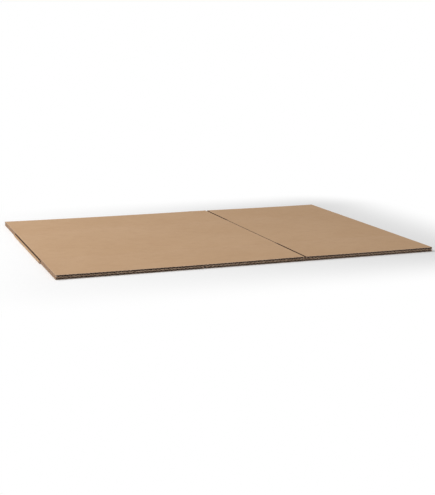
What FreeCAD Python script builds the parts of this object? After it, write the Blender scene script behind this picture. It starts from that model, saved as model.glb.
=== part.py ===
"""A regular slotted carton of single-wall corrugated board, folded flat as it is shipped.

One sheet of board makes the whole carton. It is slotted, scored, folded over at two of its
panel scores and glued at one joint. Flat, it is two layers of board: the base layer holds a
short and a long panel, the top layer a long and a short one, and each panel has a flap at
both ends. X runs along the folded length, Y along the flutes and Z is up. The origin is the
middle of the underside. Lengths are millimetres.
"""
import FreeCAD
import Part
import Sketcher

import math
import os

# Driving sizes: value and meaning

SIZES = {
    "panel_long": (487.0, "long panel, score to score"),
    "panel_short": (283.0, "short panel, score to score"),
    "body_height": (287.0, "wall of the erected carton, from flap score to flap score"),
    "board": (4.0, "caliper of the corrugated board"),
    "liner": (0.45, "thickness of each flat liner"),
    "medium": (0.3, "thickness of the wavy medium between the liners"),
    "flute_pitch": (7.8, "distance from one flute to the next"),
    "crushed_edge": (2.0, "closed board between the open flutes and a cut or fold"),
    "layer_gap": (1.2, "gap that the folds hold open between the two layers"),
    "fold_overhang": (1.0, "how far a fold stands out past its score"),
    "fold_wall": (1.8, "board that is left around the gap in a fold"),
    "fold_radius": (2.4, "rounding of a fold's upper and lower edges"),
    "fold_crease_depth": (0.8, "depth of the crease along the middle of a fold"),
    "fold_crease_width": (1.4, "width of the crease along the middle of a fold"),
    "slot_width": (4.5, "slot between two flaps"),
    "joint_gap": (2.5, "gap between the two panels that meet at the glued joint"),
    "tab_reach": (35.0, "glue tab, from the joint to its free edge"),
    "tab_root": (4.0, "part of the glue tab under the panel that it belongs to"),
    "tab_clearance": (0.2, "gap between the crushed glue tab and the base layer"),
    "tab_setback": (4.0, "distance from a flap score to the glue tab's end"),
    "tab_taper": (8.0, "how far each end of the glue tab slants back"),
    "score_width": (5.0, "width of a score line"),
    "flap_score_depth": (0.25, "depth of the scores that cross the flutes"),
    "panel_score_depth": (1.0, "depth of the score that runs along the flutes"),
}

# A round flute drawn with straight sides, from the liner up to its crown: half widths as
# shares of half a pitch, heights as shares of the flute's height.
FLUTE_OUTLINE = [(0.82, 0.0), (0.30, 0.79), (0.10, 1.0)]

doc = FreeCAD.newDocument("flattened_box")
sheet = doc.addObject("Spreadsheet::Sheet", "sizes")
for row, (alias, (value, meaning)) in enumerate(SIZES.items(), start=1):
    sheet.set(f"A{row}", meaning)
    sheet.set(f"B{row}", str(value))
    sheet.setAlias(f"B{row}", alias)
doc.recompute()


def total(*terms):
    """An expression that adds up its terms."""
    return "(" + " + ".join(terms) + ")"


def less(term):
    """An expression with the opposite sign."""
    return f"(-1 * {term})"


def half(term):
    """An expression for one half."""
    return f"({term} / 2)"


def value_of(expression):
    """The number that an expression stands for now."""
    return float(sheet.evalExpression(expression))


# Places that several features share

HALF_SPAN = half("(sizes.panel_long + sizes.panel_short)")
FOLD_END = total(HALF_SPAN, "sizes.fold_overhang")
GAP_END = total(FOLD_END, less("sizes.fold_wall"))
CREASE_END = total(FOLD_END, less("sizes.fold_crease_depth"))
FLAP_SIDE = total(HALF_SPAN, less(half("sizes.slot_width")))
PAST_FOLD = total(FOLD_END, "sizes.board")

# The flaps of the long panels meet over the middle of the short ones, so all reach half of that.
FLAP_LENGTH = half("sizes.panel_short")
HALF_BODY = half("sizes.body_height")
HALF_DEPTH = total(HALF_BODY, FLAP_LENGTH)
PAST_DEPTH = total(HALF_DEPTH, "sizes.board")

BASE_TOP = "sizes.board"
LID_BOTTOM = total(BASE_TOP, "sizes.layer_gap")
TOP = total(LID_BOTTOM, "sizes.board")
MIDDLE = half(TOP)

PANEL_SCORE_X = total("sizes.panel_short", less(HALF_SPAN))
JOINT_X = total("sizes.panel_long", less(HALF_SPAN))
JOINT_LEFT = total(JOINT_X, less(half("sizes.joint_gap")))
JOINT_RIGHT = total(JOINT_X, half("sizes.joint_gap"))


def sketch_on(body, role, name, height=None):
    """A sketch on one of the body's origin planes, raised where a height is given."""
    sketch = body.newObject("Sketcher::SketchObject", name)
    plane = next(item for item in body.Origin.OriginFeatures if item.Role == role)
    sketch.AttachmentSupport = [(plane, "")]
    sketch.MapMode = "FlatFace"
    if height:
        sketch.setExpression("AttachmentOffset.Base.z", height)
    return sketch


def add_outline(sketch, corners):
    """A closed outline of straight sides, each corner tied to the sizes by its expressions."""
    points = [FreeCAD.Vector(value_of(x), value_of(y), 0) for x, y in corners]
    first = sketch.GeometryCount
    for start, end in zip(points, points[1:] + points[:1]):
        sketch.addGeometry(Part.LineSegment(start, end), False)
    for i, (x, y) in enumerate(corners):
        side = first + i
        following = first + (i + 1) % len(corners)
        sketch.addConstraint(Sketcher.Constraint("Coincident", side, 2, following, 1))
        for direction, expression in (("DistanceX", x), ("DistanceY", y)):
            distance = Sketcher.Constraint(direction, -1, 1, side, 1, value_of(expression))
            held = sketch.addConstraint(distance)
            sketch.setExpression(f"Constraints[{held}]", expression)


def add_rectangle(sketch, left, right, near, far):
    """A rectangle between two places along each of the sketch's axes."""
    add_outline(sketch, [(left, near), (right, near), (right, far), (left, far)])


def pad(body, name, sketch, length, side_type="One side"):
    """Material as long as the given expression says."""
    feature = body.newObject("PartDesign::Pad", name)
    feature.Profile = sketch
    feature.SideType = side_type
    feature.setExpression("Length", length)
    return feature


def pocket(body, name, sketch, length, side_type="One side", upward=False):
    """A cut as deep as the given expression says."""
    feature = body.newObject("PartDesign::Pocket", name)
    feature.Profile = sketch
    feature.SideType = side_type
    feature.Reversed = upward
    feature.setExpression("Length", length)
    return feature


def folded_strip(body):
    """Both layers and the folds that join them: one section, as long as the flutes are."""
    sketch = sketch_on(body, "XZ_Plane", "folded_section")
    crease_low = total(MIDDLE, less(half("sizes.fold_crease_width")))
    crease_high = total(MIDDLE, half("sizes.fold_crease_width"))
    right_fold = [
        (FOLD_END, "0"),
        (FOLD_END, crease_low),
        (CREASE_END, MIDDLE),
        (FOLD_END, crease_high),
        (FOLD_END, TOP),
    ]
    joint_and_gap = [
        (JOINT_RIGHT, TOP),
        (JOINT_RIGHT, LID_BOTTOM),
        (GAP_END, LID_BOTTOM),
        (GAP_END, BASE_TOP),
        (less(GAP_END), BASE_TOP),
        (less(GAP_END), LID_BOTTOM),
        (JOINT_LEFT, LID_BOTTOM),
        (JOINT_LEFT, TOP),
    ]
    left_fold = [(less(x), z) for x, z in reversed(right_fold)]
    add_outline(sketch, right_fold + joint_and_gap + left_fold)
    strip = pad(body, "folded_strip", sketch, f"2 * {HALF_DEPTH}", "Symmetric")
    doc.recompute()

    end = value_of(FOLD_END)
    levels = (0.0, value_of(TOP))
    names = []
    for i, edge in enumerate(strip.Shape.Edges, start=1):
        middle = edge.BoundBox.Center
        outermost = math.isclose(abs(middle.x), end, abs_tol=1e-6)
        outer_level = any(math.isclose(middle.z, level, abs_tol=1e-6) for level in levels)
        if outermost and outer_level:
            names.append(f"Edge{i}")
    rounding = body.newObject("PartDesign::Fillet", "fold_rounding")
    rounding.Base = (strip, names)
    rounding.setExpression("Radius", "sizes.fold_radius")


def glue_tab(body):
    """The crushed tab that one top panel reaches under the other, between the flap scores."""
    thickness = total("sizes.layer_gap", less("sizes.tab_clearance"))
    sketch = sketch_on(body, "XY_Plane", "glue_tab_outline", total(LID_BOTTOM, less(thickness)))
    root = total(JOINT_RIGHT, "sizes.tab_root")
    free_edge = total(JOINT_LEFT, less("sizes.tab_reach"))
    root_half = total(HALF_BODY, less("sizes.tab_setback"))
    free_half = total(root_half, less("sizes.tab_taper"))
    add_outline(
        sketch,
        [
            (root, less(root_half)),
            (root, root_half),
            (JOINT_LEFT, root_half),
            (free_edge, free_half),
            (free_edge, less(free_half)),
            (JOINT_LEFT, less(root_half)),
        ],
    )
    pad(body, "glue_tab", sketch, thickness)


def flap_slots(body):
    """Slots between the flaps of one long side, mirrored to the other side."""
    at_folds = sketch_on(body, "XY_Plane", "fold_slot_outlines")
    add_rectangle(at_folds, FLAP_SIDE, PAST_FOLD, HALF_BODY, PAST_DEPTH)
    add_rectangle(at_folds, less(PAST_FOLD), less(FLAP_SIDE), HALF_BODY, PAST_DEPTH)
    fold_cut = pocket(body, "fold_slots", at_folds, TOP, upward=True)

    in_base = sketch_on(body, "XY_Plane", "base_slot_outline")
    left = total(PANEL_SCORE_X, less(half("sizes.slot_width")))
    right = total(PANEL_SCORE_X, half("sizes.slot_width"))
    add_rectangle(in_base, left, right, HALF_BODY, PAST_DEPTH)
    base_cut = pocket(body, "base_slot", in_base, MIDDLE, upward=True)

    in_top = sketch_on(body, "XY_Plane", "joint_slot_outline", TOP)
    left = total(JOINT_X, less(half("sizes.slot_width")))
    right = total(JOINT_X, half("sizes.slot_width"))
    add_rectangle(in_top, left, right, HALF_BODY, PAST_DEPTH)
    top_cut = pocket(body, "joint_slot", in_top, MIDDLE)
    doc.recompute()

    mirror = body.newObject("PartDesign::Mirrored", "slots_of_the_other_side")
    mirror.Originals = [fold_cut, base_cut, top_cut]
    mirror.MirrorPlane = (at_folds, ["H_Axis"])
    body.Tip = mirror


def add_score(sketch, across, surface, depth):
    """The V of a score line in a surface: depth is counted upward from the surface."""
    add_outline(
        sketch,
        [
            (total(across, less(half("sizes.score_width"))), surface),
            (total(across, half("sizes.score_width")), surface),
            (across, total(surface, depth)),
        ],
    )


def score_lines(body):
    """Scores across the flutes at all flaps, and one along them between the base panels."""
    at_flaps = sketch_on(body, "YZ_Plane", "flap_score_sections")
    for place in (HALF_BODY, less(HALF_BODY)):
        add_score(at_flaps, place, "0", "sizes.flap_score_depth")
        add_score(at_flaps, place, TOP, less("sizes.flap_score_depth"))
    pocket(body, "flap_scores", at_flaps, f"2 * {PAST_FOLD}", "Symmetric")

    at_panels = sketch_on(body, "XZ_Plane", "panel_score_section")
    add_score(at_panels, PANEL_SCORE_X, "0", "sizes.panel_score_depth")
    pocket(body, "panel_score", at_panels, "sizes.body_height", "Symmetric")


def channel(middle, liner_face, rise):
    """One open channel beside the medium, from a liner's inner face to the flute's crown."""
    half_pitch = sheet.flute_pitch / 2
    right = [
        (middle + width * half_pitch, liner_face + share * rise) for width, share in FLUTE_OUTLINE
    ]
    left = [(2 * middle - x, z) for x, z in reversed(right)]
    start = -value_of(PAST_DEPTH)
    corners = [FreeCAD.Vector(x, start, z) for x, z in right + left]
    section = Part.Face(Part.makePolygon(corners + corners[:1]))
    return section.extrude(FreeCAD.Vector(0, -2 * start, 0))


def channel_row(panel, panel_middle, underside):
    """The channels of one panel: as many pairs as fit between its crushed edges, centred."""
    pitch = sheet.flute_pitch
    height = sheet.board - 2 * sheet.liner - sheet.medium
    pair_width = pitch / 2 + FLUTE_OUTLINE[0][0] * pitch
    fluted_width = panel - sheet.slot_width - 2 * sheet.crushed_edge
    steps = math.floor((fluted_width - pair_width) / pitch)
    channels = []
    for i in range(steps + 1):
        middle = panel_middle + (i - steps / 2) * pitch
        channels.append(channel(middle - pitch / 4, underside + sheet.liner, height))
        top = underside + sheet.board
        channels.append(channel(middle + pitch / 4, top - sheet.liner, -height))
    return channels


def flute_channels():
    """Every open channel of both layers, as one set of prisms to be cut from the sheet."""
    long_middle = sheet.panel_short / 2
    short_middle = sheet.panel_long / 2
    lid_bottom = value_of(LID_BOTTOM)
    feature = doc.addObject("Part::Feature", "flute_channels")
    feature.Shape = Part.makeCompound(
        channel_row(sheet.panel_short, -short_middle, 0.0)
        + channel_row(sheet.panel_long, long_middle, 0.0)
        + channel_row(sheet.panel_long, -long_middle, lid_bottom)
        + channel_row(sheet.panel_short, short_middle, lid_bottom)
    )
    return feature


sheet_body = doc.addObject("PartDesign::Body", "slotted_sheet")
folded_strip(sheet_body)
glue_tab(sheet_body)
flap_slots(sheet_body)
score_lines(sheet_body)

box = doc.addObject("Part::Cut", "flattened_box")
box.Base = sheet_body
box.Tool = flute_channels()
box.Refine = False
doc.recompute()

# Checks, then the file

for item in doc.Objects:
    if "Invalid" in item.State or "Error" in item.State:
        raise RuntimeError(f"{item.Name} did not build: {item.State}")

solid_features = [item for item in sheet_body.Group if item.isDerivedFrom("PartDesign::Feature")]
for before, after in zip(solid_features, solid_features[1:]):
    adds = after.TypeId == "PartDesign::Pad"
    change = after.Shape.Volume - before.Shape.Volume
    if (change > 0) != adds:
        raise RuntimeError(f"{after.Name} changed the volume by {change:.1f}")

shape = box.Shape
if shape.isNull() or not shape.isValid() or len(shape.Solids) != 1:
    raise RuntimeError(f"{box.Label} is not one valid solid")
os.makedirs("parts", exist_ok=True)
shape.exportStep(f"parts/{box.Label}.step")
print(box.Label, f"{shape.Volume / 1000:.1f} cm3", shape.BoundBox)
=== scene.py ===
"""The flattened carton as it looks: one strip of corrugated board, folded twice.

The board is meshed as one closed surface. Stations follow the strip from the free edge of the
long top panel, round the left fold, along the base, round the right fold and back along the
short top panel into the glue tab. Each station has six levels through the board: outer face,
inside of the outer liner, both sides of the medium, inside of the inner liner, inner face. Rows
run across the strip, from the front edge to the back edge. The cells between stations, levels
and rows are board or air, and a face is made wherever board meets air.
"""
import math
import random

import bpy
import numpy as np
from mathutils import Matrix, Vector


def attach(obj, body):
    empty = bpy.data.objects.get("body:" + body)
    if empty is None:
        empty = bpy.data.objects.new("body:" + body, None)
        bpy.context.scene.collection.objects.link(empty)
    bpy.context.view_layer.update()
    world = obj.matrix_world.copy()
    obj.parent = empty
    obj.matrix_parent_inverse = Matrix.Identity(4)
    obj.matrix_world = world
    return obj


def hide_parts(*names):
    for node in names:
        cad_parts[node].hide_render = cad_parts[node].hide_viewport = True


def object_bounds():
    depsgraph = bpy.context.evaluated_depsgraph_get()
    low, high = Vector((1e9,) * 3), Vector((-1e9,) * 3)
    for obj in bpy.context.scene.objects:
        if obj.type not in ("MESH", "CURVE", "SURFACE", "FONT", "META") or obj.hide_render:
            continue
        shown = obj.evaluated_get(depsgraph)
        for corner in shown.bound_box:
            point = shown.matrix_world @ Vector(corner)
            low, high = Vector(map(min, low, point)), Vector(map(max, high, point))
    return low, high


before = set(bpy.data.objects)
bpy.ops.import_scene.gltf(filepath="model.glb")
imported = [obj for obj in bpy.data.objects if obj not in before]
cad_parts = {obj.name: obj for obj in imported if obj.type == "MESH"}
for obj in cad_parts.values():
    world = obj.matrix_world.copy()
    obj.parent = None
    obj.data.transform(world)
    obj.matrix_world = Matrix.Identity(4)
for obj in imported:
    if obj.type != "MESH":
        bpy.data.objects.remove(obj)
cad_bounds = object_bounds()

MM = 0.001

# Sizes of the folded sheet. Its box comes from the frame, rounded to whole micrometres, and the
# others are as in the CAD model.

LENGTH, DEPTH, TOP = (round(size, 6) for size in cad_bounds[1] - cad_bounds[0])
PANEL_SHORT = 283.0 * MM
LINER = 0.45 * MM
MEDIUM = 0.3 * MM
FLUTE_PITCH = 7.8 * MM
LAYER_GAP = 1.2 * MM
FOLD_OVERHANG = 1.0 * MM
FOLD_WALL = 1.8 * MM
SLOT_WIDTH = 4.5 * MM
JOINT_GAP = 2.5 * MM
TAB_REACH = 35.0 * MM
TAB_CALIPER = 1.0 * MM
TAB_SETBACK = 4.0 * MM
TAB_TAPER = 8.0 * MM
SCORE_WIDTH = 5.0 * MM

# How the paper departs from a perfect sheet

FLAP_SCORE_DEPTH = 0.20 * MM    # a little less than was pressed in, because liner springs back
PANEL_SCORE_DEPTH = 0.90 * MM   # the same for the score between the base panels
CONTACT = 0.9 * MM              # glued width where the medium touches a liner
SEALED_EDGE = 0.8 * MM          # closed strip beside a cut along the flutes
WASHBOARD = 0.04 * MM           # how far a liner sinks between the flutes
FLUTE_JITTER = 0.16 * MM        # unevenness of the flutes along the edge
FLUTE_LEAN = 0.55 * MM          # how far the flutes lean over together, here and there
LEAN_WAVE = 0.21                # radians of the lean's wave from one crest or trough to the next
LEAN_SWELL = 0.083              # the same for the slower wave with which it comes and goes
FLUTE_SWAY = 0.40 * MM          # how far the knife pushed a flute's slope sideways
KNIFE_CRUSH = 0.22 * MM         # how far the knife pressed the board together
KNIFE_RELIEF = 3.0 * MM         # how far in from the cut that ends on the faces
KNIFE_BURR = 0.11 * MM          # frayed fibres on both sides of the cut medium
EDGE_ROUNDING = 0.14 * MM       # how far the liner turns down at a cut along the flutes
LONG_SAG = 0.85 * MM            # how far the long top panel lies down on the base
SHORT_SAG = 0.55 * MM           # the same for the short top panel
SAG_SHAPE = 0.7                 # under 1, the panel lies flat over most of its width
BODY_SHARE_OF_SAG = 0.72        # the rest comes in towards the flaps' free edges
SAG_CLEARANCE = 6.0 * MM        # from the glue tab or the joint to where a panel starts to sag
GLUE_LINE = 0.03 * MM           # glue between the tab and the panel over it
TAB_STEP = 0.6 * MM             # how far the board's crushed edge slopes out at the joint
TAB_PAINTED_SHADE = 0.9                  # painted shade on the tab, which lies in a deep narrow gap
SLOT_PAINTED_SHADE = 0.8                 # the same painted shade for the sides of the slots and of the joint
SHADE_STARTS = 0.14              # share of the way down the joint where its painted shade is full
SHADE_WIDTH = 5.0 * MM           # how far to both sides painted shade lies on the base under the joint
JOINT_WEAR_AND_HIGHLIGHT = 0.4                # how pale the liner's edge is beside the joint: rubbed paper, and a painted highlight

# Sizes and places worked out from them

PANEL_LONG = LENGTH - 2 * FOLD_OVERHANG - PANEL_SHORT
BODY_HEIGHT = DEPTH - PANEL_SHORT
BOARD = (TOP - LAYER_GAP) / 2
LID_BOTTOM = BOARD + LAYER_GAP
MIDDLE = TOP / 2
HALF_SPAN = (PANEL_LONG + PANEL_SHORT) / 2
FOLD_END = HALF_SPAN + FOLD_OVERHANG
GAP_END = FOLD_END - FOLD_WALL
HALF_SLOT = SLOT_WIDTH / 2
FLAP_SIDE = HALF_SPAN - HALF_SLOT
HALF_BODY = BODY_HEIGHT / 2
HALF_DEPTH = HALF_BODY + PANEL_SHORT / 2
SCORE_X = PANEL_SHORT - HALF_SPAN
JOINT_X = PANEL_LONG - HALF_SPAN
JOINT_LEFT = JOINT_X - JOINT_GAP / 2
JOINT_RIGHT = JOINT_X + JOINT_GAP / 2
TAB_END = JOINT_LEFT - TAB_REACH
HALF_PITCH = FLUTE_PITCH / 2

# The fold. Its outline goes round the roll of the lower layer, into the crease under the upper
# layer's lip, and round that lip.

ROLL_HEIGHT = 3.0 * MM                  # where the roll stands out furthest
CREASE_HEIGHT = 5.8 * MM                # where the roll ends in the crease
CREASE_X = FLAP_SIDE + 0.3 * MM
CREASE_WALL_X = FLAP_SIDE + 0.15 * MM   # the crease's back, up to the lip
LIP_RADIUS = 0.45 * MM
ROLL_STEPS = 6                          # in each half of the roll
CREASE_SHADE_STEPS = 3                   # the roll's last ones, where painted shade in the crease fades in
WALL_SHARES = (0.35, 0.6)               # of the way from the crease up to the lip's middle
LIP_STEPS = 4                           # round the lip

# Levels through the board where it is closed, from its outer face to its inner face
CLOSED_LEVELS = (LINER, (BOARD - MEDIUM) / 2, (BOARD + MEDIUM) / 2, BOARD - LINER)

# Numbers of the levels on both sides of the medium, and of those where an open gap beside it ends
MEDIUM_LEVELS = (2, 3)
OUTER_GAP, INNER_GAP = 2, 4

# Shares of a flute's slope, closest together where it curves most
SLOPE_SHARES = (0.15, 0.35, 0.65, 0.85)

# Rows across the strip, from the front cut to the back cut. Each flap has one row where the
# knife's mark ends, and each flap score one at its middle and one on both sides.
ROWS = [
    -HALF_DEPTH,
    -HALF_DEPTH + KNIFE_RELIEF,
    -HALF_BODY - SCORE_WIDTH / 2,
    -HALF_BODY,
    -HALF_BODY + SCORE_WIDTH / 2,
    HALF_BODY - SCORE_WIDTH / 2,
    HALF_BODY,
    HALF_BODY + SCORE_WIDTH / 2,
    HALF_DEPTH - KNIFE_RELIEF,
    HALF_DEPTH,
]
FRONT_ROW = 0
BACK_ROW = len(ROWS) - 1
FLAP_ROWS = (0, 1, 2, 7, 8, 9)
SCORE_ROWS = (3, 6)
TAB_ROWS = (4, 5)
OPEN_ROWS = [0, 1, 8, 9]        # the rows that the surfaces inside the flutes use

# Cells between the rows: over the whole depth, in the body alone, and in the tab
ALL_CELLS = tuple(range(len(ROWS) - 1))
BODY_CELLS = (3, 4, 5)
TAB_CELLS = (4,)


def between(a, b, share):
    """The value or point at a share of the way from a to b."""
    if isinstance(a, tuple):
        return tuple(between(p, q, share) for p, q in zip(a, b))
    return a + (b - a) * share


class Station:
    """One place along the strip: its section points, and which cells after it are board.

    Wear, which carries a painted highlight, and painted shade, from 0 to 1, make its faces paler
    or darker.
    """

    def __init__(self, points, cells):
        self.points = points
        self.front_points = points
        self.back_points = points
        self.cells = cells
        self.rows = ROWS
        self.gaps = {}              # open heights beside the medium, by level
        self.opens = False          # whether the flutes are open from here to the next station
        self.is_flap_side = False
        self.wear_and_highlight = 0.0
        self.painted_shade = 0.0
        self.slot_shade = 0.0             # painted shade in the slots and the joint, like the crease's, but not on the outer face

    def points_at(self, row):
        """The section at a row: at the front and back cuts, the flutes are pushed about."""
        if row == FRONT_ROW:
            return self.front_points
        if row == BACK_ROW:
            return self.back_points
        return self.points


def section(x, layer, heights):
    """Section points of a flat panel, with heights counted from the board's outer face."""
    return [(x, h if layer == "base" else TOP - h) for h in heights]


def flat_station(
    x, layer, cells=ALL_CELLS, levels=CLOSED_LEVELS, sink=0.0, wear_and_highlight=0.0, slot_shade=0.0
):
    """A station in a flat panel where the board is closed."""
    station = Station(section(x, layer, (sink, *levels, BOARD)), cells)
    station.wear_and_highlight = wear_and_highlight
    station.slot_shade = slot_shade
    return station


def bent_station(outer, inner, cells, painted_shade=0.0):
    """A station in a fold or in the tab, its levels spread from an outer to an inner point."""
    points = [between(outer, inner, h / BOARD) for h in (0.0, *CLOSED_LEVELS, BOARD)]
    station = Station(points, cells)
    station.painted_shade = painted_shade
    return station


def medium_sides(q):
    """Both sides of the medium, a share q of the way down from its crest to its trough.

    The crest touches the inner liner, the trough the outer one.
    """
    swing = (BOARD - 2 * LINER - MEDIUM) / 2
    middle = BOARD / 2 + swing * math.cos(math.pi * q)
    steepness = swing * math.pi / (HALF_PITCH - CONTACT) * math.sin(math.pi * q)
    half = MEDIUM / 2 * math.hypot(1.0, steepness)
    low = middle - half if q < 1 else LINER
    high = middle + half if q > 0 else BOARD - LINER
    return low, high


def flute_station(x, layer, q, sways=(0.0, 0.0), opens=True):
    """A station among the open flutes, with the medium pushed sideways at both cuts."""
    low, high = medium_sides(q)
    outer_gap = low - LINER
    inner_gap = BOARD - LINER - high
    free = BOARD - 2 * LINER - MEDIUM
    outer = WASHBOARD * outer_gap / free
    inner = BOARD - WASHBOARD * inner_gap / free
    station = Station(
        section(x, layer, (outer, LINER, low, high, BOARD - LINER, inner)), ALL_CELLS
    )
    station.gaps = {OUTER_GAP: outer_gap, INNER_GAP: inner_gap}
    station.opens = opens
    if layer == "base":
        # Painted shade on the base's inner face under the joint
        station.slot_shade = SLOT_PAINTED_SHADE * max(0.0, 1 - abs(x - JOINT_X) / SHADE_WIDTH)
    cut_low = low - min(KNIFE_BURR, outer_gap / 2)
    cut_high = high + min(KNIFE_BURR, inner_gap / 2)
    cut_points = []
    for sway in sways:
        points = section(x, layer, (outer, LINER, cut_low, cut_high, BOARD - LINER, inner))
        for level in MEDIUM_LEVELS:
            _, z = points[level]
            points[level] = (x + sway * math.sin(math.pi * q), z)
        cut_points.append(points)
    station.front_points, station.back_points = cut_points
    return station


def flute_stations(panel, centre, layer):
    """The open flutes of one panel, in the strip's direction."""
    direction = 1 if layer == "base" else -1
    # From the middle of a crest or trough to where the next trough or crest begins
    foot = HALF_PITCH - CONTACT / 2
    fluted_width = panel - SLOT_WIDTH - 2 * SEALED_EDGE
    steps = math.floor((fluted_width - HALF_PITCH - 2 * foot) / FLUTE_PITCH)
    first = -steps * HALF_PITCH - FLUTE_PITCH / 4
    lean_phase = random.uniform(0, 2 * math.pi)
    middles = []
    for k in range(2 * steps + 2):
        # The troughs lean, all but the last
        lean = 0.0
        if k % 2 and k < 2 * steps + 1:
            lean = FLUTE_LEAN * math.sin(lean_phase + LEAN_WAVE * k) * math.cos(LEAN_SWELL * k)
        jitter = random.uniform(-FLUTE_JITTER, FLUTE_JITTER)
        middles.append(first + k * HALF_PITCH + lean + jitter)
    stations = []

    def slope(start, end, rising):
        sways = [random.uniform(-FLUTE_SWAY, FLUTE_SWAY) for _ in range(2)]
        for share in SLOPE_SHARES:
            x = centre + direction * between(start, end, share)
            stations.append(flute_station(x, layer, 1 - share if rising else share, sways))

    def tip(offset, q, opens=True):
        stations.append(flute_station(centre + direction * offset, layer, q, opens=opens))

    tip(middles[0] - foot, 1)
    slope(middles[0] - foot, middles[0] - CONTACT / 2, rising=True)
    for k, middle in enumerate(middles):
        is_trough = k % 2
        tip(middle - CONTACT / 2, is_trough)
        tip(middle + CONTACT / 2, is_trough)
        if k + 1 < len(middles):
            slope(middle + CONTACT / 2, middles[k + 1] - CONTACT / 2, rising=bool(is_trough))
    slope(middles[-1] + CONTACT / 2, middles[-1] + foot, rising=True)
    tip(middles[-1] + foot, 0, opens=False)
    return stations


def fold_outline():
    """The right fold, from the underside to the top: outer point, inner point, painted shade."""
    half_gap = LAYER_GAP / 2
    gap_round = GAP_END - half_gap
    pairs = []
    for step in range(ROLL_STEPS + 1):
        share = step / ROLL_STEPS
        angle = math.pi / 2 * share
        outer = (
            between(FLAP_SIDE, FOLD_END, math.sin(angle)),
            ROLL_HEIGHT * (1 - math.cos(angle)),
        )
        pairs.append((outer, (between(FLAP_SIDE, gap_round, share), BOARD), 0.0))
    for step in range(1, ROLL_STEPS + 1):
        share = step / ROLL_STEPS
        angle = math.pi / 2 * share
        outer = (
            between(CREASE_X, FOLD_END, math.cos(angle)),
            between(ROLL_HEIGHT, CREASE_HEIGHT, math.sin(angle)),
        )
        inner = (
            gap_round + half_gap * math.sin(2 * angle),
            MIDDLE - half_gap * math.cos(2 * angle),
        )
        # Painted shade in the crease, fading in over the roll's last steps
        fade = max(0.0, step - ROLL_STEPS + CREASE_SHADE_STEPS) / CREASE_SHADE_STEPS
        pairs.append((outer, inner, fade))
    lip_middle = TOP - LIP_RADIUS
    wall = [(CREASE_WALL_X, between(CREASE_HEIGHT, lip_middle, share)) for share in WALL_SHARES]
    lip = []
    for step in range(LIP_STEPS + 1):
        angle = math.pi / 2 * (2 * step / LIP_STEPS - 1)
        x = FLAP_SIDE + LIP_RADIUS * math.cos(angle)
        lip.append((x, lip_middle + LIP_RADIUS * math.sin(angle)))
    lip[0] = (CREASE_WALL_X, lip[0][1])
    lip[-1] = (FLAP_SIDE, TOP)
    upper = wall + lip
    for step, outer in enumerate(upper, start=1):
        share = step / len(upper)
        inner = (between(gap_round, FLAP_SIDE, share), LID_BOTTOM)
        # Full painted shade on the crease's back and the lip's underside
        pairs.append((outer, inner, 1.0 if step <= len(wall) + 1 else 0.0))
    return pairs


def fold_stations(side):
    """The fold at the left (-1) or right (1) end, in the strip's direction."""
    stations = [
        bent_station(outer, inner, BODY_CELLS, painted_shade) for outer, inner, painted_shade in fold_outline()
    ]
    for station in stations[ROLL_STEPS * 2:]:
        # No level stands out into the open crease
        station.points[1:] = [
            (min(x, FLAP_SIDE), z) if z > CREASE_HEIGHT else (x, z) for x, z in station.points[1:]
        ]
    if side < 0:
        stations.reverse()
        for station in stations:
            station.points[:] = [(-x, z) for x, z in station.points]
    stations[0].is_flap_side = True
    stations[-1].is_flap_side = True
    stations[-1].cells = ALL_CELLS
    return stations


def tab_stations():
    """The short panel's edge at the joint, and the crushed tab that runs on from it."""
    upper = LID_BOTTOM - GLUE_LINE
    lower = upper - TAB_CALIPER
    body_half = ROWS[TAB_ROWS[1]]
    root_half = HALF_BODY - TAB_SETBACK
    # Each section is its outer point, its inner point, and where its ends lie along Y
    panel_edge = ((JOINT_RIGHT, TOP - EDGE_ROUNDING), (JOINT_RIGHT, LID_BOTTOM), body_half)
    tab_root = ((JOINT_RIGHT - TAB_STEP, upper), (JOINT_RIGHT, lower), root_half)
    sections = [
        between(panel_edge, tab_root, SHADE_STARTS),
        tab_root,
        ((JOINT_LEFT, upper), (JOINT_LEFT, lower), root_half),
        ((TAB_END, upper), (TAB_END, lower), root_half - TAB_TAPER),
    ]
    stations = []
    for outer, inner, half in sections:
        # Painted shade over the tab and the joint's lower end, in their deep narrow gap
        station = bent_station(outer, inner, TAB_CELLS, TAB_PAINTED_SHADE)
        station.rows = list(ROWS)
        for row, y in zip(TAB_ROWS, (-half, half)):
            station.rows[row] = y
        stations.append(station)
    stations[-1].cells = ()
    stations[-1].painted_shade = 0.0
    return stations


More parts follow.
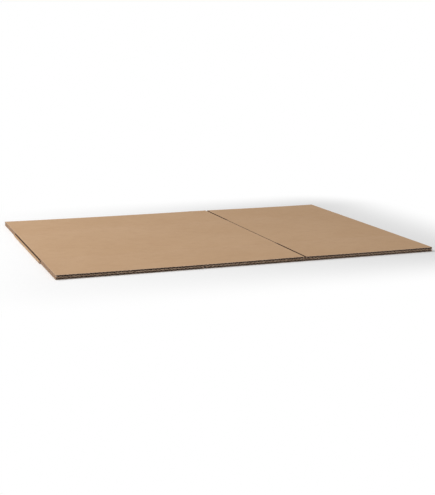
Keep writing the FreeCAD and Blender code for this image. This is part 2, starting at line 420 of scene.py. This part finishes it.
def strip_stations():
    """All stations, from the long top panel's free edge round to the glue tab's."""
    # In the panel score, the liner is pressed to half its thickness
    scored = (PANEL_SCORE_DEPTH + LINER / 2, *CLOSED_LEVELS[1:])
    # The joint's edges: rounded, paler from rubbing and a painted highlight, and with painted
    # shade on their sides
    edge_marks = {"sink": EDGE_ROUNDING, "wear_and_highlight": JOINT_WEAR_AND_HIGHLIGHT, "slot_shade": SLOT_PAINTED_SHADE}
    return [
        flat_station(JOINT_LEFT, "top", BODY_CELLS, **edge_marks),
        flat_station(JOINT_X - HALF_SLOT, "top", **edge_marks),
        *flute_stations(PANEL_LONG, -PANEL_SHORT / 2, "top"),
        *fold_stations(-1),
        *flute_stations(PANEL_SHORT, -PANEL_LONG / 2, "base"),
        # The base slot's sides get painted shade, and its scored middle gets none
        flat_station(SCORE_X - HALF_SLOT, "base", BODY_CELLS, slot_shade=SLOT_PAINTED_SHADE),
        flat_station(SCORE_X, "base", BODY_CELLS, levels=scored, sink=PANEL_SCORE_DEPTH),
        flat_station(SCORE_X + HALF_SLOT, "base", slot_shade=SLOT_PAINTED_SHADE),
        *flute_stations(PANEL_LONG, PANEL_SHORT / 2, "base"),
        *fold_stations(1),
        *flute_stations(PANEL_SHORT, PANEL_LONG / 2, "top"),
        flat_station(JOINT_X + HALF_SLOT, "top", BODY_CELLS, **edge_marks),
        flat_station(JOINT_RIGHT, "top", TAB_CELLS, **edge_marks),
        *tab_stations(),
    ]


def sag(x, y, z):
    """How far the top layer lies down on the base: not at all at the folds and the joint."""
    if z < MIDDLE:
        return 0.0
    if x < JOINT_X:
        start, end, most = -FLAP_SIDE, TAB_END - SAG_CLEARANCE, LONG_SAG
    else:
        start, end, most = FLAP_SIDE, JOINT_RIGHT + SAG_CLEARANCE, SHORT_SAG
    share = (x - start) / (end - start)
    if not 0 < share < 1:
        return 0.0
    past_score = max(0.0, (abs(y) - HALF_BODY) / (HALF_DEPTH - HALF_BODY))
    return (
        most
        * math.sin(math.pi * share) ** SAG_SHAPE
        * between(BODY_SHARE_OF_SAG, 1.0, past_score)
    )


def shift(station, level, row, x, y, z):
    """How far a point moves up or down with the sag, the knife, the scores and the worn edge."""
    inward = 1 if z < MIDDLE else -1
    move = -sag(x, y, z)
    if row in (FRONT_ROW, BACK_ROW):
        from_inner = BOARD - z if z < MIDDLE else z - LID_BOTTOM
        move += inward * KNIFE_CRUSH * from_inner / BOARD
    if level == 0 and row in SCORE_ROWS:
        move += inward * FLAP_SCORE_DEPTH
    if level == 0 and station.is_flap_side and row in FLAP_ROWS:
        move += inward * EDGE_ROUNDING
    return move


# Kinds of face, which are also the numbers of their materials
LINER_FACE, SIDE_FACE, CUT_FACE, FLUTE_FACE = range(4)

# Corners of a face between two cells, in order round it, for each way the cells can lie
FACE_CORNERS = (
    ((0, 0, 0), (0, 0, 1), (0, 1, 1), (0, 1, 0)),
    ((0, 0, 0), (1, 0, 0), (1, 0, 1), (0, 0, 1)),
    ((0, 0, 0), (0, 1, 0), (1, 1, 0), (1, 0, 0)),
)


def boundary_faces(solid, index, axis):
    """Faces square to an axis wherever solid changes, and the place of each.

    The cell grid has one more cell than the vertex grid on each axis, so that the outermost
    cells lie outside all vertices.
    """
    low = np.take(solid, range(solid.shape[axis] - 1), axis)
    high = np.take(solid, range(1, solid.shape[axis]), axis)
    for place in np.argwhere(low != high):
        corner = [p if k == axis else p - 1 for k, p in enumerate(place)]
        loop = [index[tuple(np.add(corner, step))] for step in FACE_CORNERS[axis]]
        if high[tuple(place)]:
            loop.reverse()
        ring = [v for v, before in zip(loop, loop[-1:] + loop[:-1]) if v != before]
        if len(ring) > 2:
            yield ring, corner


def board_vertices(stations):
    """All vertices, their wear (with a painted highlight) and painted shade, and the number of
    each by station, level and row.
    """
    levels = len(stations[0].points)
    index = np.zeros((len(stations), levels, len(ROWS)), dtype=int)
    vertices, wear_and_highlight, painted_shade = [], [], []
    for s, station in enumerate(stations):
        for level in range(levels):
            if station.gaps.get(level) == 0:
                # The medium touches a liner here, so both share their vertices
                index[s, level] = index[s, level - 1]
                continue
            for row, y in enumerate(station.rows):
                x, z = station.points_at(row)[level]
                index[s, level, row] = len(vertices)
                vertices.append((x, y, z + shift(station, level, row, x, y, z)))
                on_flap_side = station.is_flap_side and row in FLAP_ROWS
                at_cut = level == 0 and (row in (FRONT_ROW, BACK_ROW) or on_flap_side)
                # Cut edges of the outer face are paler: rubbed paper, and a painted highlight
                wear_and_highlight.append(1.0 if at_cut else station.wear_and_highlight)
                # Painted shade: from the fold's crease and the tab on all levels, from the slots
                # and the joint on all but the outer face
                painted_shade.append(max(station.painted_shade, station.slot_shade if level else 0.0))
    return vertices, wear_and_highlight, painted_shade, index


def board_surface(stations):
    """The closed surface around the board: vertices, faces and their kinds, wear (with a painted
    highlight) and painted shade.
    """
    vertices, wear_and_highlight, painted_shade, index = board_vertices(stations)
    count, levels, rows = index.shape
    board = np.zeros((count + 1, levels + 1, rows + 1), dtype=bool)
    flutes = np.zeros((count + 1, levels + 1), dtype=bool)
    for s, (here, there) in enumerate(zip(stations, stations[1:]), start=1):
        for cell in here.cells:
            board[s, 1:levels, cell + 1] = True
        if here.opens:
            for level in here.gaps:
                flutes[s, level] = max(here.gaps[level], there.gaps[level]) > 0

    # Faces between stations are sides, between levels liners, and between rows cuts
    faces, kinds = [], []
    for axis, kind in enumerate((SIDE_FACE, LINER_FACE, CUT_FACE)):
        for ring, (s, level, row) in boundary_faces(board, index, axis):
            if kind == CUT_FACE and row in (FRONT_ROW, BACK_ROW) and flutes[s + 1, level + 1]:
                # The open end of a flute
                continue
            faces.append(ring)
            kinds.append(kind)
    # A flute's tunnel is open to both cuts, and beyond them there is nothing to wall in
    inside = np.repeat(~flutes[:, :, np.newaxis], len(OPEN_ROWS) + 1, axis=2)
    inside[:, :, (0, -1)] = True
    for axis in (0, 1):
        for ring, _ in boundary_faces(inside, index[:, :, OPEN_ROWS], axis):
            faces.append(ring)
            kinds.append(FLUTE_FACE)

    used = sorted({v for face in faces for v in face})
    new_number = {v: i for i, v in enumerate(used)}
    faces = [[new_number[v] for v in face] for face in faces]
    vertices, wear_and_highlight, painted_shade = ([values[v] for v in used] for values in (vertices, wear_and_highlight, painted_shade))
    return vertices, faces, kinds, wear_and_highlight, painted_shade


# Materials. Coordinates are the object's own, in metres.

WHITE = (1.0, 1.0, 1.0, 1.0)
KRAFT = (0.503, 0.323, 0.188, 1.0)
KRAFT_PALE = (0.590, 0.402, 0.256, 1.0)
KRAFT_DARK = (0.415, 0.254, 0.142, 1.0)
# Paler kraft for the edges: rubbed paper, and a painted highlight
KRAFT_RUBBED_HIGHLIGHT = (0.600, 0.430, 0.290, 1.0)
FIBRE_DARK = (0.290, 0.170, 0.095, 1.0)
# Near black, for painted shade in the fold's crease, the tab's gap, the slots and the joint
PAINTED_SHADE_DARK = (0.040, 0.020, 0.010, 1.0)
SIDE_PALE = (0.440, 0.300, 0.205, 1.0)
SIDE_DARK = (0.300, 0.190, 0.125, 1.0)
CUT_PALE = (0.620, 0.465, 0.355, 1.0)
CUT_DARK = (0.230, 0.150, 0.105, 1.0)
# The flutes' insides: the paper's colour darkened as painted shade in the tunnels
FLUTE_SHADED_PALE = (0.130, 0.084, 0.056, 1.0)
FLUTE_SHADED_DARK = (0.060, 0.037, 0.024, 1.0)


class Material:
    """A material under construction, with short ways to add its nodes."""

    def __init__(self, name, roughness, specular):
        self.material = bpy.data.materials.new(name)
        self.material.use_nodes = True
        self.nodes = self.material.node_tree.nodes
        self.links = self.material.node_tree.links
        self.shader = self.nodes["Principled BSDF"]
        self.shader.inputs["Roughness"].default_value = roughness
        self.shader.inputs["Specular IOR Level"].default_value = specular
        self.place = self.nodes.new("ShaderNodeTexCoord").outputs["Object"]

    def attribute(self, name):
        """A number stored at the mesh's vertices."""
        node = self.nodes.new("ShaderNodeAttribute")
        node.attribute_name = name
        return node.outputs["Fac"]

    def noise(self, scale, stretch=(1, 1, 1), turn=0.0, detail=3.0, roughness=0.55):
        """Noise with so many features to the metre, finer along a stretched axis."""
        mapping = self.nodes.new("ShaderNodeMapping")
        mapping.inputs["Rotation"].default_value = (0.0, 0.0, turn)
        mapping.inputs["Scale"].default_value = stretch
        self.links.new(self.place, mapping.inputs["Vector"])
        node = self.nodes.new("ShaderNodeTexNoise")
        node.inputs["Scale"].default_value = scale
        node.inputs["Detail"].default_value = detail
        node.inputs["Roughness"].default_value = roughness
        self.links.new(mapping.outputs["Vector"], node.inputs["Vector"])
        return node.outputs["Fac"]

    def ramp(self, value, low, high, interpolation="SMOOTHSTEP"):
        """Zero up to low, one from high on, and smooth between."""
        node = self.nodes.new("ShaderNodeMapRange")
        node.interpolation_type = interpolation
        node.inputs["From Min"].default_value = low
        node.inputs["From Max"].default_value = high
        self.links.new(value, node.inputs["Value"])
        return node.outputs["Result"]

    def math(self, operation, a, b):
        """Two numbers or sockets put together."""
        node = self.nodes.new("ShaderNodeMath")
        node.operation = operation
        for socket, value in zip(node.inputs, (a, b)):
            if isinstance(value, (int, float)):
                socket.default_value = value
            else:
                self.links.new(value, socket)
        return node.outputs["Value"]

    def vector(self, operation, a, b=(0.0, 0.0, 0.0), output="Vector"):
        """A socket and a vector put together."""
        node = self.nodes.new("ShaderNodeVectorMath")
        node.operation = operation
        self.links.new(a, node.inputs[0])
        node.inputs[1].default_value = b
        return node.outputs[output]

    def mix(self, factor, a, b, strength=1.0):
        """Colour b over colour a, by a factor between 0 and 1."""
        node = self.nodes.new("ShaderNodeMix")
        node.data_type = "RGBA"
        self.links.new(self.math("MULTIPLY", factor, strength), node.inputs["Factor"])
        colour_inputs = [s for s in node.inputs if s.type == "RGBA"]
        for socket, value in zip(colour_inputs, (a, b)):
            if isinstance(value, tuple):
                socket.default_value = value
            else:
                self.links.new(value, socket)
        return next(s for s in node.outputs if s.type == "RGBA")

    def finish(self, colour, height, distance, strength):
        """Colour and bump onto the shader."""
        self.links.new(colour, self.shader.inputs["Base Color"])
        bump = self.nodes.new("ShaderNodeBump")
        bump.inputs["Distance"].default_value = distance
        bump.inputs["Strength"].default_value = strength
        self.links.new(height, bump.inputs["Height"])
        self.links.new(bump.outputs["Normal"], self.shader.inputs["Normal"])
        return self.material


def kraft_liner():
    """Brown liner: clouds, streaks along the strip, crossing fibres, flecks, rubbed edges with a
    painted highlight, and painted shade in the crease, the slots and the joint.
    """
    paper = Material("kraft_liner", roughness=0.80, specular=0.12)
    clouds = paper.noise(6.0, detail=4.0)
    patches = paper.noise(60.0, (1.0, 1.5, 1.0), detail=4.0)
    streaks = paper.noise(35.0, (1.0, 12.0, 4.0), detail=3.0)
    fibres = paper.noise(480.0, (1.0, 6.0, 3.0), turn=0.10, detail=5.0, roughness=0.75)
    cross = paper.noise(620.0, (1.0, 4.0, 2.0), turn=-0.60, detail=4.0, roughness=0.72)
    flecks = paper.noise(560.0, (1.0, 3.2, 1.0), turn=0.25, detail=1.0)
    scuff_and_highlight = paper.noise(900.0, detail=3.0, roughness=0.7)
    colour = paper.mix(paper.ramp(clouds, 0.36, 0.66), KRAFT, KRAFT_PALE, 0.22)
    colour = paper.mix(paper.ramp(patches, 0.40, 0.75), colour, KRAFT_DARK, 0.24)
    colour = paper.mix(paper.ramp(streaks, 0.45, 0.80), colour, KRAFT_PALE, 0.25)
    colour = paper.mix(paper.ramp(fibres, 0.52, 0.76), colour, KRAFT_DARK, 0.45)
    colour = paper.mix(paper.ramp(cross, 0.54, 0.78), colour, KRAFT_PALE, 0.50)
    colour = paper.mix(paper.ramp(flecks, 0.72, 0.77), colour, FIBRE_DARK, 0.35)
    # Paler at the cut edges and beside the joint: rubbed paper, and a painted highlight
    edge_marks = paper.math("MULTIPLY", paper.attribute("wear_and_highlight"), paper.ramp(scuff_and_highlight, 0.30, 0.62))
    colour = paper.mix(edge_marks, colour, KRAFT_RUBBED_HIGHLIGHT, 0.8)
    # Painted shade in the fold's crease, on the tab, in the slots and the joint
    colour = paper.mix(paper.attribute("painted_shade"), colour, PAINTED_SHADE_DARK)
    height = paper.math("ADD", fibres, paper.math("MULTIPLY", patches, 0.8))
    return paper.finish(colour, height, 0.06 * MM, 0.6)


def slot_side():
    """The sides of the slots and the joint, cut along the flutes: crushed brown paper, with
    painted shade deep in the slots and the joint.
    """
    paper = Material("slot_side", roughness=0.90, specular=0.12)
    strands = paper.noise(260.0, (1.0, 1.0, 7.0), detail=4.0, roughness=0.65)
    tufts = paper.noise(1100.0, (1.0, 0.6, 1.2), detail=3.0, roughness=0.7)
    colour = paper.mix(paper.ramp(strands, 0.38, 0.66), SIDE_DARK, SIDE_PALE)
    colour = paper.mix(paper.ramp(tufts, 0.50, 0.75), colour, SIDE_DARK, 0.45)
    # Painted shade deep in the slots, the joint and the tab's gap
    colour = paper.mix(paper.attribute("painted_shade"), colour, PAINTED_SHADE_DARK, 0.9)
    return paper.finish(colour, tufts, 0.20 * MM, 0.8)


def cut_edge():
    """Torn fibres where the knife went across the flutes: greyer, and rough."""
    paper = Material("cut_edge", roughness=0.95, specular=0.08)
    tufts = paper.noise(1500.0, (1.0, 1.0, 2.2), detail=4.0, roughness=0.7)
    grime = paper.noise(120.0, (1.0, 1.0, 2.0), detail=3.0)
    colour = paper.mix(paper.ramp(tufts, 0.34, 0.64), CUT_DARK, CUT_PALE)
    colour = paper.mix(paper.ramp(grime, 0.42, 0.66), colour, CUT_DARK, 0.70)
    return paper.finish(colour, tufts, 0.20 * MM, 0.8)


def flute_paper_and_shade():
    """The medium and the insides of the liners: recycled paper, darkened far below its own colour
    as painted shade inside the flutes.
    """
    paper = Material("flute_paper_and_shade", roughness=0.92, specular=0.10)
    fibres = paper.noise(700.0, (1.0, 0.5, 1.0), detail=3.0)
    colour = paper.mix(paper.ramp(fibres, 0.38, 0.66), FLUTE_SHADED_DARK, FLUTE_SHADED_PALE)
    return paper.finish(colour, fibres, 0.06 * MM, 0.6)


# The carton

SEED = 11                       # of the flutes' unevenness
SHARP_ANGLE = math.radians(38)


def make_board():
    """The carton as one mesh object, which stands for the CAD model's one node."""
    random.seed(SEED)
    vertices, faces, kinds, wear_and_highlight, painted_shade = board_surface(strip_stations())
    mesh = bpy.data.meshes.new("corrugated_board")
    mesh.from_pydata(vertices, [], faces)
    for material in (kraft_liner(), slot_side(), cut_edge(), flute_paper_and_shade()):
        mesh.materials.append(material)
    mesh.polygons.foreach_set("material_index", kinds)
    smooth = [kind in (LINER_FACE, FLUTE_FACE) for kind in kinds]
    mesh.polygons.foreach_set("use_smooth", smooth)
    # Stored at the vertices for the materials: paler edges with a painted highlight, and painted
    # shade
    for name, values in (("wear_and_highlight", wear_and_highlight), ("painted_shade", painted_shade)):
        mesh.attributes.new(name, "FLOAT", "POINT").data.foreach_set("value", values)
    mesh.set_sharp_from_angle(angle=SHARP_ANGLE)
    mesh.update()
    board = bpy.data.objects.new("corrugated_board", mesh)
    bpy.context.scene.collection.objects.link(board)
    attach(board, "root")
    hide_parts("flattened_box")


# The studio

FLOOR_SIZE = 40.0
FLOOR_PALE = (0.94, 0.94, 0.94, 1.0)
FLOOR_PAINTED_SHADE = (0.08, 0.08, 0.08, 1.0)   # painted shade under the box, where hardly any light comes
WORLD_STRENGTH = 0.33

# Distances from the box's outline, negative inside it
UNDER_END = -8.0 * MM           # the floor's painted shade is full from here inward
UNDER_START = -3.0 * MM         # and pale from here outward
FLOOR_NEAR = 10.0 * MM          # it starts to fade into white here
FLOOR_FAR = 240.0 * MM          # and is all white from here on


def seen_directly(nodes, links):
    """One for the rays that show the background: to the camera, in gloss and through glass."""
    rays = nodes.new("ShaderNodeLightPath")
    seen = rays.outputs["Is Camera Ray"]
    for name in ("Is Glossy Ray", "Is Transmission Ray"):
        either = nodes.new("ShaderNodeMath")
        either.operation = "MAXIMUM"
        links.new(seen, either.inputs[0])
        links.new(rays.outputs[name], either.inputs[1])
        seen = either.outputs["Value"]
    return seen


def make_floor():
    """A plain pale floor that fades into the white background away from the object, with painted
    shade under the box.
    """
    bpy.ops.mesh.primitive_plane_add(size=FLOOR_SIZE, location=(0, 0, 0))
    floor = bpy.context.object
    floor.name = "floor"
    pale = Material("pale_floor", roughness=0.9, specular=0.1)
    nodes, links = pale.nodes, pale.links

    # How far a place lies past the box's outline, along X and along Y
    beyond = pale.vector(
        "SUBTRACT", pale.vector("ABSOLUTE", pale.place), (HALF_SPAN, HALF_DEPTH, 0.0)
    )
    sides = nodes.new("ShaderNodeSeparateXYZ")
    links.new(beyond, sides.inputs["Vector"])
    nearest = pale.math("MAXIMUM", sides.outputs["X"], sides.outputs["Y"])
    # Painted shade on the floor under the box, ending at its outline
    lit = pale.ramp(nearest, UNDER_END, UNDER_START, interpolation="LINEAR")
    links.new(pale.mix(lit, FLOOR_PAINTED_SHADE, FLOOR_PALE), pale.shader.inputs["Base Color"])

    distance = pale.vector("LENGTH", pale.vector("MAXIMUM", beyond), output="Value")
    fade = pale.ramp(distance, FLOOR_NEAR, FLOOR_FAR)
    white = nodes.new("ShaderNodeEmission")
    white.inputs["Color"].default_value = WHITE
    mix = nodes.new("ShaderNodeMixShader")
    links.new(pale.math("MULTIPLY", fade, seen_directly(nodes, links)), mix.inputs["Fac"])
    links.new(pale.shader.outputs["BSDF"], mix.inputs[1])
    links.new(white.outputs["Emission"], mix.inputs[2])
    links.new(mix.outputs["Shader"], nodes["Material Output"].inputs["Surface"])
    floor.data.materials.append(pale.material)


def make_world():
    """Soft light from all sides, and a white background for the camera."""
    world = bpy.data.worlds.new("studio")
    bpy.context.scene.world = world
    world.use_nodes = True
    nodes, links = world.node_tree.nodes, world.node_tree.links
    soft = nodes["Background"]
    soft.inputs["Color"].default_value = WHITE
    soft.inputs["Strength"].default_value = WORLD_STRENGTH
    white = nodes.new("ShaderNodeBackground")
    white.inputs["Color"].default_value = WHITE
    mix = nodes.new("ShaderNodeMixShader")
    links.new(seen_directly(nodes, links), mix.inputs["Fac"])
    links.new(soft.outputs["Background"], mix.inputs[1])
    links.new(white.outputs["Background"], mix.inputs[2])
    links.new(mix.outputs["Shader"], nodes["World Output"].inputs["Surface"])


def add_softbox(name, place, size, watts):
    """A square area light that looks at the middle of the box."""
    light = bpy.data.lights.new(name, "AREA")
    light.shape = "SQUARE"
    light.size = size
    light.energy = watts
    lamp = bpy.data.objects.new(name, light)
    lamp.location = place
    lamp.rotation_euler = (-Vector(place)).to_track_quat("-Z", "Y").to_euler()
    bpy.context.scene.collection.objects.link(lamp)


# The camera, fitted to the corners of the flattened box

IMAGE_HEIGHT = 495
FOCAL_PIXELS = 1043.83
CAMERA_YAW = math.radians(20.167)
CAMERA_PITCH = math.radians(11.4985)
CAMERA_ROLL = math.radians(0.2349)
# The box's front left top corner as the camera sees it (right, ahead, up), in front edge lengths
CORNER_FROM_CAMERA = (-0.37401715, 2.40945558, -0.06351023)
SENSOR = 36.0


def make_camera():
    """The photograph's camera."""
    yaw = Matrix.Rotation(CAMERA_YAW, 3, "Z")
    pitch = Matrix.Rotation(CAMERA_PITCH, 3, "X")
    roll = Matrix.Rotation(CAMERA_ROLL, 3, "Y")
    to_camera = roll @ pitch @ yaw
    corner = Vector((-FLAP_SIDE, -HALF_DEPTH, TOP))
    edge_length = 2 * FLAP_SIDE
    place = corner - to_camera.transposed() @ (Vector(CORNER_FROM_CAMERA) * edge_length)
    right, ahead, up = to_camera
    turn = Matrix((right, up, -ahead)).transposed()
    data = bpy.data.cameras.new("camera")
    data.sensor_fit = "VERTICAL"
    data.sensor_height = SENSOR
    data.lens = FOCAL_PIXELS / IMAGE_HEIGHT * SENSOR
    camera = bpy.data.objects.new("camera", data)
    camera.matrix_world = Matrix.Translation(place) @ turn.to_4x4()
    bpy.context.scene.collection.objects.link(camera)
    bpy.context.scene.camera = camera


make_board()
make_floor()
make_world()
add_softbox("key", place=(-1.3, 0.4, 1.7), size=1.4, watts=33.0)
add_softbox("front", place=(-0.2, -2.4, 0.9), size=1.2, watts=17.0)
make_camera()
bpy.context.scene.view_settings.view_transform = "Standard"
